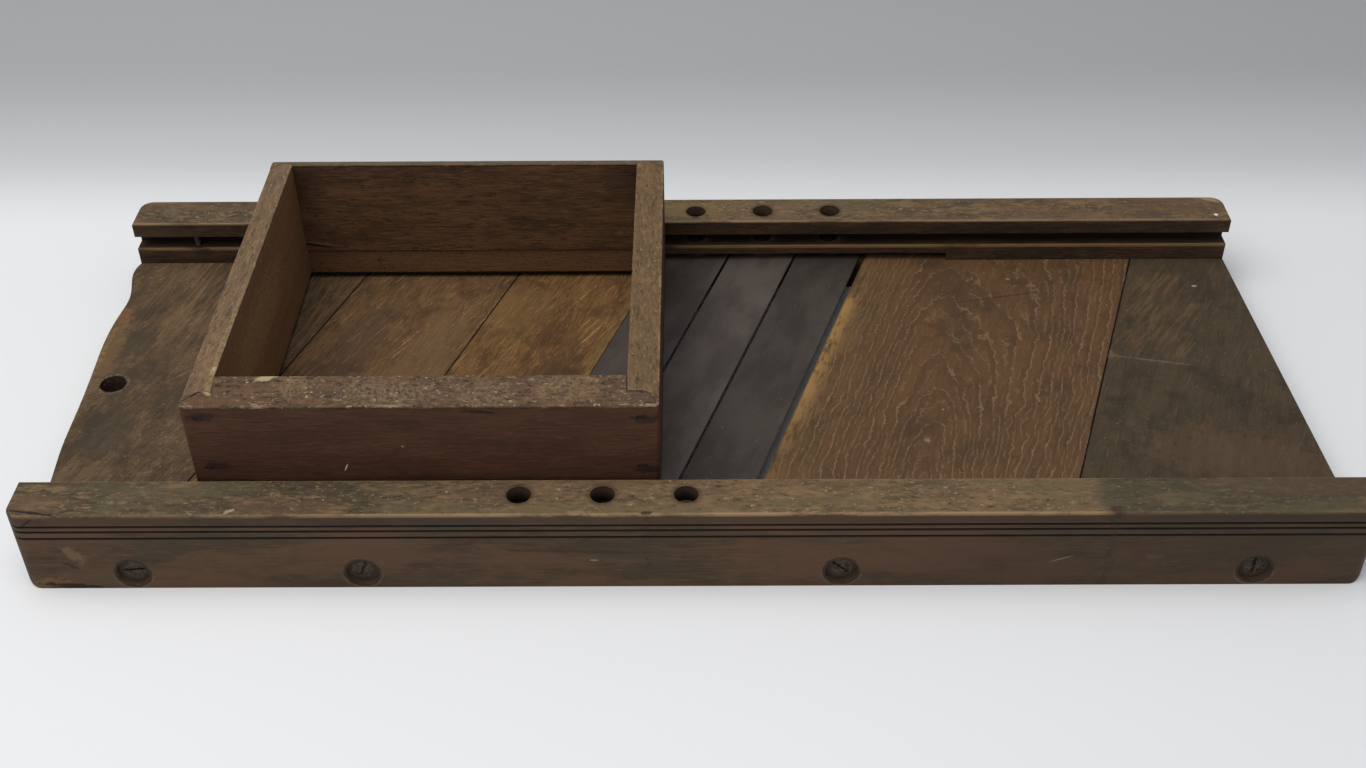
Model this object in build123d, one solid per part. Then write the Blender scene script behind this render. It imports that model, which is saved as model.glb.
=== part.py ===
from build123d import *
import math
import os

# A cabbage shredder: two grooved side rails with a bed of slanted boards between them, three
# slanted knives, and a bottomless hopper box that slides along the rails over the knives.
# Lengths are in millimetres. X runs along the rails, Y from the front rail to the back rail,
# Z up. The origin is on the table, under the middle of the frame.

# Side rails. The stagger is how far the front rail sits to the right of the back rail.
rail_length = 695.0
rail_stagger = 7.0
rail_thickness = 27.0
rail_height = 50.8
bed_width = 243.0
rail_end_radius = 8.0
rail_corner_radius = 8.0
rail_edge_radius = 1.5
lip_thickness = 9.8
groove_height = 9.0
groove_depth = 10.0
reed_drops = (7.4, 10.9, 15.4)
reed_width = 1.4
reed_depth = 1.1

# Pin that stops the hopper before the left end of the back rail's groove
stop_pin_setback = 34.6
stop_pin_inset = 5.0
stop_pin_diameter = 4.0
stop_pin_anchor = 5.0
stop_pin_sink = 1.0
stop_pin_clearance = 0.05

# Bed boards
bed_top = 20.9
board_thickness = 19.0
slant_angle = 18.9
left_end_joint = -239.9
left_inner_joint = -143.0
right_joint = 243.1
joint_gap = 0.5
tongue_depth = 6.0
tongue_thickness = 6.0
tongue_clearance = 0.15
tongue_end_clearance = 0.5
housing_depth = 8.0
housing_clearance = 0.4
worn_edge_chamfer = 1.2
hang_hole_diameter = 15.0
hang_hole_inset = 13.0
hang_hole_y = -3.6

# The bed's left end, worn wavy: how far it stands past the rails' ends, by its Y
worn_end = (
    (-84.0, 0.3),
    (-62.0, 1.7),
    (-30.0, 1.6),
    (10.0, 2.1),
    (42.0, 2.5),
    (66.0, 0.2),
    (82.0, -1.6),
    (96.0, 0.3),
    (110.0, 2.5),
)

# Knives
blade_count = 3
blade_field_middle = 5.85
blade_pitch = 42.6
blade_thickness = 1.6
blade_stand = 0.5
blade_back_gap = 0.3
blade_throat = 1.2
last_throat = 2.0
bevel_width = 5.0
bevel_edge = 0.4
hone_width = 0.8
hone_depth = 0.2
seat_length = 17.0
slot_end_clearance = 1.5
slot_length = 237.9
slot_headroom = 5.5

# Knife screws and the holes above them
driver_hole_diameter = 12.7
screw_inset = 12.0
screw_offset = -2.9
screw_head_diameter = 8.6
screw_head_height = 2.8
screw_diameter = 4.6
screw_length = 17.5
screw_hole_clearance = 0.05
blade_hole_clearance = 0.25
screw_slot_width = 1.1
screw_slot_depth = 1.2

# Rail screws, by their distance from the middle and the turn of their slots
front_screw_places = ((-286.4, 5.0), (-167.6, 70.0), (79.5, -40.0), (292.6, 88.0))
back_screw_places = ((300.0, 15.0), (167.6, -60.0), (-79.5, 35.0), (-292.6, 80.0))
rail_screw_height = 10.7
rail_screw_sink = 3.0
rail_screw_sink_diameter = 17.0
rail_screw_head_diameter = 11.5
rail_screw_head_height = 3.2
rail_screw_diameter = 5.4
rail_screw_length = 42.0
rail_screw_clearance = 0.1
rail_screw_slot_width = 1.5
rail_screw_slot_depth = 1.3

# Hopper box
hopper_middle = -133.5
hopper_length = 240.0
hopper_side_play = 2.6
hopper_wall = 16.0
hopper_bed_clearance = 3.6
hopper_rim_height = 104.0
rim_drop = 7.0
hopper_corner_radius = 2.5
rebate_depth = 8.0
runner_height = 18.0
runner_reach = 5.5
runner_lift = 0.3
runner_top_clearance = 1.2
runner_setback = 1.0

# Hopper nails
nail_heights = (7.5, 40.0)
nail_end_inset = 9.0
nail_head_length = 5.0
nail_head_height = 2.2
nail_head_depth = 1.2
nail_sink = 0.4
nail_thickness = 2.0
nail_width = 2.6
nail_length = 38.0
nail_clearance = 0.05
runner_nail_count = 3
runner_nail_spacing = 80.0
runner_nail_diameter = 2.4
runner_nail_head_diameter = 5.0
runner_nail_length = 45.0

# Places worked out from the sizes above
slope = math.tan(math.radians(slant_angle))
rail_inner = bed_width / 2
rail_outer = rail_inner + rail_thickness
rail_end = rail_length / 2
stop_pin_x = stop_pin_setback - rail_end
end_slope = rail_stagger / bed_width
groove_top = rail_height - lip_thickness
groove_floor = groove_top - groove_height
bed_bottom = bed_top - board_thickness
board_reach = rail_inner + housing_depth - housing_clearance
blade_field_start = blade_field_middle - blade_pitch * blade_count / 2
blade_field_end = blade_field_start + blade_pitch * blade_count
right_bed_start = blade_field_end + last_throat
blade_top = bed_top + blade_stand
blade_bottom = blade_top - blade_thickness
blade_reach = rail_inner + seat_length
slot_depth = seat_length + slot_end_clearance
slot_roof = bed_top + slot_headroom
screw_line = rail_inner + screw_inset
hopper_bottom = bed_top + hopper_bed_clearance
hopper_side = rail_inner - hopper_side_play
hopper_left = hopper_middle - hopper_length / 2
hopper_right = hopper_middle + hopper_length / 2
hopper_inner_side = hopper_side - hopper_wall
runner_top = hopper_bottom + runner_height
overcut = 1.0

os.makedirs("parts", exist_ok=True)


def solid_box(x_range, y_range, z_range):
    """A plain block between two values on each axis."""
    size = [high - low for low, high in (x_range, y_range, z_range)]
    middle = [(high + low) / 2 for low, high in (x_range, y_range, z_range)]
    return Pos(*middle) * Box(*size)


def plan_prism(corners, low, high):
    """A prism that stands on an outline drawn in plan."""
    outline = make_face(Polyline(*corners, close=True))
    return extrude(Pos(0, 0, low) * outline, amount=high - low)


def slanted_prism(left, right, reach, low, high):
    """A prism between two slanted lines, each given by its X at the middle of the bed."""
    shift = reach * slope
    corners = [(left - shift, -reach), (right - shift, -reach), (right + shift, reach), (left + shift, reach)]
    return plan_prism(corners, low, high)


def left_end_prism(end, right, reach, low, high):
    """A prism from the left end of the bed, which follows the rails' ends, to a slanted line."""
    shift, end_shift = reach * slope, reach * end_slope
    front = [(end + end_shift, -reach), (right - shift, -reach)]
    back = [(right + shift, reach), (end - end_shift, reach)]
    return plan_prism(front + back, low, high)


def right_end_prism(left, end, reach, low, high):
    """A prism from a slanted line to the right end of the bed, which follows the rails' ends."""
    shift, end_shift = reach * slope, reach * end_slope
    front = [(left - shift, -reach), (end + end_shift, -reach)]
    back = [(end - end_shift, reach), (left + shift, reach)]
    return plan_prism(front + back, low, high)


def upright_cylinder(x, y, low, high, diameter):
    """A round bar or hole along Z."""
    return Pos(x, y, (low + high) / 2) * Cylinder(diameter / 2, high - low)


def blade_screw_place(index, side):
    """Where the screw at one end of a knife stands. The side is -1 in front and 1 at the back."""
    middle = blade_field_start + blade_pitch * (index + 0.5)
    return middle + side * screw_line * slope + screw_offset, side * screw_line


def rail(side):
    """One side rail, with its groove, reeds, board housings, knife slot and holes."""
    outline = Pos(0, rail_height / 2) * Rectangle(rail_length, rail_height)
    outline = fillet(outline.vertices().group_by(Axis.Y)[0], rail_end_radius)
    bar = extrude(Plane.XZ.offset(-rail_outer) * outline, amount=rail_thickness)
    plan = Pos(0, rail_outer - rail_thickness / 2) * Rectangle(rail_length, rail_thickness)
    plan = fillet(plan.vertices().group_by(Axis.Y)[-1], rail_corner_radius)
    bar &= extrude(plan, amount=rail_height)
    top_edges = bar.edges().filter_by(Axis.X).group_by(Axis.Z)[-1]
    bar = fillet(top_edges, rail_edge_radius)
    ends = (-rail_end - overcut, rail_end + overcut)
    bar -= solid_box(ends, (rail_inner - overcut, rail_inner + groove_depth), (groove_floor, groove_top))
    for drop in reed_drops:
        bar -= reed(rail_height - drop)
    if side < 0:
        bar = bar.rotate(Axis.Z, 180)
    bar = Pos(-side * rail_stagger / 2, 0, 0) * bar
    reach = rail_inner + housing_depth
    beyond = rail_end + rail_stagger
    bar -= left_end_prism(-beyond, blade_field_start, reach, -overcut, bed_top)
    bar -= right_end_prism(right_bed_start - joint_gap, beyond, reach, -overcut, bed_top)
    slot_middle = blade_field_middle + side * rail_inner * slope
    slot_span = (slot_middle - slot_length / 2, slot_middle + slot_length / 2)
    slot_walls = sorted((side * (rail_inner - overcut), side * (rail_inner + slot_depth)))
    bar -= solid_box(slot_span, slot_walls, (blade_bottom, slot_roof))
    hole_floor = blade_top - screw_length - overcut
    for index in range(blade_count):
        x, y = blade_screw_place(index, side)
        bar -= upright_cylinder(x, y, blade_bottom, rail_height + overcut, driver_hole_diameter)
        bar -= upright_cylinder(x, y, hole_floor, slot_roof, screw_diameter + 2 * screw_hole_clearance)
    for x, turn in rail_screw_places(side):
        bar -= rail_screw_hole(x, side)
    if side > 0:
        bar -= stop_pin(stop_pin_clearance)
    return bar


def stop_pin(clearance=0.0):
    """The iron pin across the back rail's groove, driven up from the board's housing, or its hole."""
    top = groove_top + stop_pin_anchor + clearance
    low = bed_top - overcut if clearance else bed_top + stop_pin_sink
    diameter = stop_pin_diameter + 2 * clearance
    return upright_cylinder(stop_pin_x, rail_inner + stop_pin_inset, low, top, diameter)


def reed(height):
    """One of the fine V grooves along a rail's outer face."""
    corners = [
        (rail_outer - reed_depth, height),
        (rail_outer + reed_depth, height + reed_width),
        (rail_outer + reed_depth, height - reed_width),
    ]
    section = make_face(Plane.YZ * Polyline(*corners, close=True))
    return extrude(section, amount=rail_length, both=True)


def rail_screw_places(side):
    return front_screw_places if side < 0 else back_screw_places


def rail_screw_frame(x, side, turn=0.0):
    """The frame of one rail screw: its Z points out of the rail, from the seat of the head."""
    seat = Location((x, side * (rail_outer - rail_screw_sink), rail_screw_height), (-90 * side, 0, 0))
    return seat * Rot(0, 0, turn)


def rail_screw_hole(x, side):
    """The wide sinking for the head and the hole for the body, through the rail and into the board."""
    sink = Pos(0, 0, rail_screw_sink / 2 + overcut / 2) * Cylinder(
        rail_screw_sink_diameter / 2, rail_screw_sink + overcut
    )
    head = countersunk_head(rail_screw_clearance)
    depth = rail_screw_length + overcut
    body = Pos(0, 0, -depth / 2) * Cylinder(rail_screw_diameter / 2 + rail_screw_clearance, depth)
    return rail_screw_frame(x, side) * (sink + head + body)


def countersunk_head(clearance):
    """The flat head of a rail screw, below the seat level, grown by a clearance for its hole."""
    small = rail_screw_diameter / 2 + clearance
    large = rail_screw_head_diameter / 2 + clearance
    return Pos(0, 0, -rail_screw_head_height / 2) * Cone(small, large, rail_screw_head_height)


def rail_screw(x, side, turn):
    """One slotted screw with a flat head and a pointed end."""
    point = 2 * rail_screw_diameter
    straight = rail_screw_length - point
    body = Pos(0, 0, -straight / 2) * Cylinder(rail_screw_diameter / 2, straight)
    tip = Pos(0, 0, -straight - point / 2) * Cone(rail_screw_diameter / 10, rail_screw_diameter / 2, point)
    slot = Pos(0, 0, -rail_screw_slot_depth / 2 + overcut / 2) * Box(
        rail_screw_head_diameter + overcut, rail_screw_slot_width, rail_screw_slot_depth + overcut
    )
    return rail_screw_frame(x, side, turn) * (countersunk_head(0.0) + body + tip - slot)


def rail_screws(side):
    """The four screws of one rail, as separate solids."""
    return Compound(children=[rail_screw(x, side, turn) for x, turn in rail_screw_places(side)])


def tongue(joint):
    """The tongue along a board's right edge."""
    middle = (bed_top + bed_bottom) / 2
    low, high = middle - tongue_thickness / 2, middle + tongue_thickness / 2
    return slanted_prism(joint - joint_gap, joint + tongue_depth, board_reach, low, high)


def tongue_groove(joint):
    """The groove in the next board's left edge, a little wider and deeper than the tongue."""
    middle = (bed_top + bed_bottom) / 2
    half = tongue_thickness / 2 + tongue_clearance
    depth = tongue_depth + tongue_end_clearance
    return slanted_prism(joint - joint_gap, joint + depth, board_reach + overcut, middle - half, middle + half)


def with_screw_holes(board):
    """The board with the holes of the rail screws that reach it."""
    for side in (-1, 1):
        for x, turn in rail_screw_places(side):
            board -= rail_screw_hole(x, side)
    return board


def worn_end_board(right):
    """A prism as the bed's left end has it, with the wavy line that wear has given its end."""
    reach, shift, end_shift = board_reach, board_reach * slope, board_reach * end_slope
    line = [(-rail_end - y * end_slope - stand, y) for y, stand in worn_end]
    first = (-rail_end + rail_inner * end_slope, -rail_inner)
    last = (-rail_end - rail_inner * end_slope, rail_inner)
    back = [last, (-rail_end - end_shift, reach), (right + shift, reach)]
    front = [(right - shift, -reach), (-rail_end + end_shift, -reach), first]
    outline = make_face(Spline(first, *line, last) + Polyline(*back, *front))
    return extrude(Pos(0, 0, bed_bottom) * outline, amount=board_thickness)


def left_end_board():
    board = worn_end_board(left_end_joint - joint_gap / 2)
    board += tongue(left_end_joint)
    hole_x = -rail_end + hang_hole_inset
    board -= upright_cylinder(hole_x, hang_hole_y, bed_bottom - overcut, bed_top + overcut, hang_hole_diameter)
    return with_screw_holes(board)


def left_middle_board():
    left = left_end_joint + joint_gap / 2
    right = left_inner_joint - joint_gap / 2
    board = slanted_prism(left, right, board_reach, bed_bottom, bed_top)
    board += tongue(left_inner_joint)
    return with_screw_holes(board - tongue_groove(left_end_joint))


def left_inner_board():
    left = left_inner_joint + joint_gap / 2
    right = blade_field_start - joint_gap / 2
    board = slanted_prism(left, right, board_reach, bed_bottom, bed_top)
    return with_screw_holes(board - tongue_groove(left_inner_joint))


def right_inner_board():
    """The board past the last knife, with the upper corner at the throat worn off."""
    board = slanted_prism(right_bed_start, right_joint - joint_gap / 2, board_reach, bed_bottom, bed_top)
    left_edges = board.edges().group_by(Axis.Z)[-1].sort_by(lambda e: (e @ 0.5).X)
    board = chamfer(left_edges[0], worn_edge_chamfer)
    board += tongue(right_joint)
    return with_screw_holes(board)


def right_end_board():
    board = right_end_prism(right_joint + joint_gap / 2, rail_end, board_reach, bed_bottom, bed_top)
    return with_screw_holes(board - tongue_groove(right_joint))


def blade(index):
    """One knife: a slanted strip, ground from below along its right edge and honed on top."""
    left = blade_field_start + blade_pitch * index + blade_back_gap
    right = blade_field_start + blade_pitch * (index + 1) - blade_throat
    section = [
        (left, blade_bottom),
        (right - bevel_width, blade_bottom),
        (right, blade_top - bevel_edge),
        (right, blade_top - hone_depth),
        (right - hone_width, blade_top),
        (left, blade_top),
    ]
    face = make_face(Plane.XZ * Polyline(*section, close=True))
    run = (2 * blade_reach * slope, 2 * blade_reach)
    strip = extrude(face, amount=math.hypot(*run), dir=(run[0], run[1], 0))
    strip = Pos(-run[0] / 2, -blade_reach, 0) * strip
    for side in (-1, 1):
        x, y = blade_screw_place(index, side)
        hole = screw_diameter + 2 * blade_hole_clearance
        strip -= upright_cylinder(x, y, blade_bottom - overcut, blade_top + overcut, hole)
    return strip


def blade_screw(index, side):
    """The slotted screw that holds one end of a knife, under a driver hole."""
    x, y = blade_screw_place(index, side)
    head_top = blade_top + screw_head_height
    head = upright_cylinder(x, y, blade_top, head_top, screw_head_diameter)
    head = chamfer(head.edges().group_by(Axis.Z)[-1], screw_head_height / 4)
    point = 2 * screw_diameter
    straight_end = blade_top - screw_length + point
    body = upright_cylinder(x, y, straight_end, blade_top, screw_diameter)
    tip = Pos(x, y, straight_end - point / 2) * Cone(screw_diameter / 10, screw_diameter / 2, point)
    turn = 35.0 + 50.0 * index - 20.0 * side
    slot = Box(screw_head_diameter + overcut, screw_slot_width, screw_slot_depth + overcut)
    slot = Pos(x, y, head_top - screw_slot_depth / 2 + overcut / 2) * Rot(0, 0, turn) * slot
    return head + body + tip - slot


def rim_cut(side_length, half_width):
    """The long wedge that slopes one side of the hopper's rim down to the outside, along Y = half_width."""
    rim = hopper_rim_height
    wedge = [
        (half_width - hopper_wall, rim),
        (half_width + overcut, rim - rim_drop * (hopper_wall + overcut) / hopper_wall),
        (half_width + overcut, rim + overcut),
        (half_width - hopper_wall, rim + overcut),
    ]
    face = make_face(Plane.YZ * Polyline(*wedge, close=True))
    return Pos(-side_length, 0, 0) * extrude(face, amount=2 * side_length)


def hopper_block():
    """The outside of the hopper as one block, with its sloping rim and rounded corners."""
    x_range = (-hopper_length / 2, hopper_length / 2)
    block = solid_box(x_range, (-hopper_side, hopper_side), (hopper_bottom, hopper_rim_height))
    block = fillet(block.edges().filter_by(Axis.Z), hopper_corner_radius)
    for turn in (0, 180):
        block -= rim_cut(hopper_length, hopper_side).rotate(Axis.Z, turn)
    for turn in (90, -90):
        block -= rim_cut(2 * hopper_side, hopper_length / 2).rotate(Axis.Z, turn)
    return Pos(hopper_middle, 0, 0) * block


def hopper_end_wall(side):
    """The front or back wall and everything of it above the runner, with rebated ends."""
    outer = sorted((side * hopper_inner_side, side * hopper_side))
    lap = sorted((side * hopper_inner_side, side * (hopper_side - rebate_depth)))
    wall = solid_box((hopper_left, hopper_right), outer, (runner_top, hopper_rim_height))
    for end in side_wall_spans():
        wall -= solid_box(end, lap, (runner_top, hopper_rim_height))
    wall &= hopper_block()
    return wall - wall_nail_group(side, nail_clearance) - runner_nail_group(side, nail_clearance)


def side_wall_spans():
    """The X spans of the left and the right wall."""
    return (hopper_left, hopper_left + hopper_wall), (hopper_right - hopper_wall, hopper_right)


def hopper_side_wall(span):
    """The left or right wall, housed in the rebates of the front and back walls."""
    reach = hopper_side - rebate_depth
    wall = solid_box(span, (-reach, reach), (hopper_bottom, hopper_rim_height))
    wall &= hopper_block()
    for side in (-1, 1):
        wall -= wall_nail_group(side, nail_clearance)
    return wall


def hopper_runner(side):
    """The strip under the front or back wall, with the tongue that rides in the rail's groove."""
    inner = hopper_inner_side + runner_setback
    whole = sorted((side * inner, side * hopper_side))
    strip = solid_box((hopper_left, hopper_right), whole, (hopper_bottom, runner_top))
    lap = sorted((side * inner, side * (hopper_side - rebate_depth)))
    for end in side_wall_spans():
        strip -= solid_box(end, lap, (hopper_bottom, runner_top))
    upright = strip.edges().filter_by(Axis.Z)
    outer_corners = upright.filter_by(lambda e: abs(abs(e.center().Y) - hopper_side) < 0.01)
    strip = fillet(outer_corners, hopper_corner_radius)
    low = groove_floor + runner_lift
    high = groove_top - runner_top_clearance
    ends = (hopper_left + hopper_corner_radius, hopper_right - hopper_corner_radius)
    tongue_span = sorted((side * (hopper_side - overcut), side * (rail_inner + runner_reach)))
    strip += solid_box(ends, tongue_span, (low, high))
    return strip - runner_nail_group(side, nail_clearance)


def wall_nail(x, side, z, clearance):
    """One cut nail, driven through the end of the front or back wall into a side wall."""
    head_face = side * (hopper_side - nail_sink)
    head_back = side * (hopper_side - nail_sink - nail_head_depth)
    point = side * (hopper_side - nail_sink - nail_length)
    half_head = nail_head_length / 2 + clearance
    half_head_height = nail_head_height / 2 + clearance
    half_width = nail_width / 2 + clearance
    half_thickness = nail_thickness / 2 + clearance
    if clearance:
        head_face += side * overcut
    head = solid_box((x - half_head, x + half_head), sorted((head_face, head_back)),
                     (z - half_head_height, z + half_head_height))
    shank = solid_box((x - half_width, x + half_width), sorted((head_back, point)),
                      (z - half_thickness, z + half_thickness))
    return head + shank


def wall_nail_group(side, clearance=0.0):
    """The four nails at the ends of the front or back wall."""
    nails = []
    for x in (hopper_left + nail_end_inset, hopper_right - nail_end_inset):
        for drop in nail_heights:
            z = hopper_rim_height - rim_drop - drop
            nails.append(wall_nail(x, side, z, clearance))
    return nails


def runner_nail_group(side, clearance=0.0):
    """The nails driven up through a runner into its wall."""
    y = side * (hopper_side - hopper_wall / 2)
    nails = []
    for index in range(runner_nail_count):
        x = hopper_middle + runner_nail_spacing * (index - (runner_nail_count - 1) / 2)
        bottom = hopper_bottom + nail_sink
        head_bottom = bottom - (overcut if clearance else 0.0)
        head_top = bottom + nail_head_depth
        head = upright_cylinder(x, y, head_bottom, head_top, runner_nail_head_diameter + 2 * clearance)
        shank = upright_cylinder(x, y, head_top, bottom + runner_nail_length, runner_nail_diameter + 2 * clearance)
        nails.append(head + shank)
    return nails


def hopper_wall_nails():
    return Compound(children=wall_nail_group(-1) + wall_nail_group(1))


def hopper_runner_nails():
    return Compound(children=runner_nail_group(-1) + runner_nail_group(1))


def all_parts():
    """Every piece of the shredder by its name."""
    left_span, right_span = side_wall_spans()
    parts = {
        "front_rail": rail(-1),
        "back_rail": rail(1),
        "front_rail_screws": rail_screws(-1),
        "back_rail_screws": rail_screws(1),
        "groove_stop_pin": stop_pin(),
        "left_end_board": left_end_board(),
        "left_middle_board": left_middle_board(),
        "left_inner_board": left_inner_board(),
        "right_inner_board": right_inner_board(),
        "right_end_board": right_end_board(),
        "hopper_front_wall": hopper_end_wall(-1),
        "hopper_back_wall": hopper_end_wall(1),
        "hopper_left_wall": hopper_side_wall(left_span),
        "hopper_right_wall": hopper_side_wall(right_span),
        "hopper_front_runner": hopper_runner(-1),
        "hopper_back_runner": hopper_runner(1),
        "hopper_wall_nails": hopper_wall_nails(),
        "hopper_runner_nails": hopper_runner_nails(),
    }
    for index in range(blade_count):
        parts[f"blade_{index + 1}"] = blade(index)
        parts[f"blade_{index + 1}_front_screw"] = blade_screw(index, -1)
        parts[f"blade_{index + 1}_back_screw"] = blade_screw(index, 1)
    return parts


for name, shape in all_parts().items():
    export_step(shape, f"parts/{name}.step")
    print(f"{name:24s} {len(shape.solids())} solids {shape.volume / 1000:9.2f} cm3")
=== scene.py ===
import math
from functools import reduce

import bpy
from mathutils import Matrix, Vector


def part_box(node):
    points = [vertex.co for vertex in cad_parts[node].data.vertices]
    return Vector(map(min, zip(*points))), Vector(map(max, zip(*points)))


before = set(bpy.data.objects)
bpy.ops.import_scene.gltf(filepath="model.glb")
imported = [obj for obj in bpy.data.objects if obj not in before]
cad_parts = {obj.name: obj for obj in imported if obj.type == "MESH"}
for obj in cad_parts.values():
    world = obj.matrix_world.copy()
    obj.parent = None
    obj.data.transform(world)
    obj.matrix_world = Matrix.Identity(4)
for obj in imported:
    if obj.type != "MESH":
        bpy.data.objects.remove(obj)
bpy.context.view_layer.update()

# The floor: one pale sheet of paper that lies flat under the shredder and curves up well
# behind it. It is white near the object; further back it is painted grey as shade, lighter
# up the curve and again at the sides.
sheet_width = 8.0
sheet_front = -2.5
sheet_back = 1.6
sheet_height = 2.6
sheet_bend = 0.9
white_paper = (0.76, 0.77, 0.785)
paper_light_shade = (0.56, 0.575, 0.59)
paper_grey_shade = (0.385, 0.395, 0.405)
paper_far_shade = (0.455, 0.465, 0.475)
turns_pale = (0.19, 0.30)
turns_grey = (0.24, 0.44)
rises_paler = (0.05, 0.60)
sides_begin = (0.55, 1.1)
sides_go_back = (0.30, 0.80)


class Wire:
    """A socket of a material that takes part in sums, as a number or a colour does."""

    def __init__(self, tree, socket=None):
        self.tree = tree
        self.socket = socket

    def node(self, kind, settings=(), inputs=(), output=0):
        """Any node: its type, then its settings, then what goes into its sockets."""
        made = self.tree.nodes.new("ShaderNode" + kind)
        for name, value in dict(settings).items():
            setattr(made, name, value)
        for name, value in dict(inputs).items():
            if isinstance(value, Wire):
                self.tree.links.new(value.socket, made.inputs[name])
            else:
                made.inputs[name].default_value = value
        return Wire(self.tree, made.outputs[output])

    def maths(self, operation, *others):
        return self.node("Math", {"operation": operation}, enumerate((self, *others)))

    def __add__(self, other):
        return self.maths("ADD", other)

    def __sub__(self, other):
        return self.maths("SUBTRACT", other)

    def __rsub__(self, other):
        return self.node("Math", {"operation": "SUBTRACT"}, {0: other, 1: self})

    def __mul__(self, other):
        return self.maths("MULTIPLY", other)

    def __truediv__(self, other):
        return self.maths("DIVIDE", other)

    __radd__ = __add__
    __rmul__ = __mul__

    def __abs__(self):
        return self.maths("ABSOLUTE")

    def least(self, other):
        return self.maths("MINIMUM", other)

    def most(self, other):
        return self.maths("MAXIMUM", other)

    def fade(self, start, end):
        """0 up to the start and 1 from the end on, with a soft step between them."""
        ends = {"Value": self, "From Min": start, "From Max": end}
        return self.node("MapRange", {"interpolation_type": "SMOOTHSTEP"}, ends)

    def between(self, low, high, soft):
        """1 between two values and 0 outside them."""
        return self.fade(low - soft, low) * self.fade(high + soft, high)


def tint(colour, other, mask):
    """A colour that turns into another one where the mask is 1."""
    first_colour, second_colour, mixed_colour = 6, 7, 2
    ends = {0: mask}
    for socket, value in ((first_colour, colour), (second_colour, other)):
        ends[socket] = value if isinstance(value, Wire) else (*value, 1)
    return mask.node("Mix", {"data_type": "RGBA"}, ends, mixed_colour)


def axes(place):
    """The X, Y and Z of a place on the piece."""
    return [place.node("SeparateXYZ", {}, {0: place}, number) for number in range(3)]


def bare_material(name):
    """A new material and its Object coordinates."""
    material = bpy.data.materials.new(name)
    material.use_nodes = True
    start = Wire(material.node_tree)
    return material, start.node("TexCoord", {}, {}, "Object")


def coat(piece, material, colour, rough, shine, relief=None, depth=0.0, metal=0.0):
    """Gives a piece its finish: colour, roughness, and relief with its depth in metres."""
    tree = material.node_tree
    shader = tree.nodes["Principled BSDF"]
    shader.inputs["Specular IOR Level"].default_value = shine
    shader.inputs["Metallic"].default_value = metal
    tree.links.new(colour.socket, shader.inputs["Base Color"])
    if isinstance(rough, Wire):
        tree.links.new(rough.socket, shader.inputs["Roughness"])
    else:
        shader.inputs["Roughness"].default_value = rough
    if relief:
        bump = relief.node("Bump", {}, {"Height": relief, "Distance": depth, "Strength": 1.0})
        tree.links.new(bump.socket, shader.inputs["Normal"])
    piece.data.materials.clear()
    piece.data.materials.append(material)


bpy.ops.object.select_all(action="DESELECT")
bpy.ops.mesh.primitive_plane_add(size=1, location=(0, (sheet_front + sheet_back) / 2, 0))
sheet = bpy.context.object
sheet.name = "paper_sheet"
bpy.ops.transform.resize(value=(sheet_width, sheet_back - sheet_front, 1))
bpy.ops.object.transform_apply(location=True, rotation=True, scale=True)
bpy.ops.object.mode_set(mode="EDIT")
bpy.ops.mesh.select_mode(type="EDGE")
bpy.ops.mesh.select_all(action="DESELECT")
bpy.ops.object.mode_set(mode="OBJECT")
for edge in sheet.data.edges:
    edge.select = all(sheet.data.vertices[i].co.y > 0 for i in edge.vertices)
bpy.ops.object.mode_set(mode="EDIT")
bpy.ops.mesh.extrude_region_move(TRANSFORM_OT_translate={"value": (0, 0, sheet_height)})
bpy.ops.object.mode_set(mode="OBJECT")
fold = sheet.modifiers.new("fold", "BEVEL")
fold.width = sheet_bend
fold.segments = 24
fold.limit_method = "ANGLE"
bpy.ops.object.modifier_apply(modifier="fold")
bpy.ops.object.shade_smooth()
material, place = bare_material("paper")
x, y, z = axes(place)
# The greys laid over the white paper are painted shade.
colour = tint(white_paper, paper_light_shade, y.fade(*turns_pale))
colour = tint(colour, paper_grey_shade, y.fade(*turns_grey))
colour = tint(colour, paper_far_shade, z.fade(*rises_paler))
colour = tint(colour, paper_light_shade, abs(x).fade(*sides_begin) * y.fade(*sides_go_back) * 0.55)
coat(sheet, material, colour, 0.8, 0.2)

# The light: a wide soft lamp above the shredder, to the left and a little in front of it, in
# a pale room that lights it evenly from all round.
room_colour = (0.95, 0.97, 1.0, 1)
room_strength = 0.53
lamp_place = (-0.52, -0.38, 1.65)
lamp_size = (1.6, 1.5)
lamp_power = 24.5
lamp_colour = (1.0, 0.98, 0.955)

room = bpy.data.worlds.new("room")
room.use_nodes = True
room.node_tree.nodes["Background"].inputs["Color"].default_value = room_colour
room.node_tree.nodes["Background"].inputs["Strength"].default_value = room_strength
bpy.context.scene.world = room
bpy.ops.object.light_add(type="AREA", location=lamp_place)
lamp = bpy.context.object
lamp.name = "overhead_lamp"
lamp.data.shape = "RECTANGLE"
lamp.data.size, lamp.data.size_y = lamp_size
lamp.data.energy = lamp_power
lamp.data.color = lamp_colour
lamp.rotation_euler = Vector(lamp_place).to_track_quat("Z", "Y").to_euler()
bpy.context.scene.view_settings.view_transform = "Standard"

# The camera: it stands in front of the shredder, looks down on it at 38 degrees, and is
# turned and rolled by less than half a degree.
camera_place = (0.00216, -0.74080, 0.60452)
camera_tilt = math.radians(38.45)
camera_swing = math.radians(0.333)
camera_roll = math.radians(-0.44)
camera_lens = 42.546
camera_sensor = 36.0

bpy.ops.object.camera_add(location=camera_place)
camera = bpy.context.object
camera.data.sensor_width = camera_sensor
camera.data.lens = camera_lens
aim = Matrix.Rotation(camera_swing, 3, "Z") @ Matrix.Rotation(math.pi / 2 - camera_tilt, 3, "X")
camera.rotation_euler = (aim @ Matrix.Rotation(camera_roll, 3, "Z")).to_euler()
bpy.context.scene.camera = camera

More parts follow.
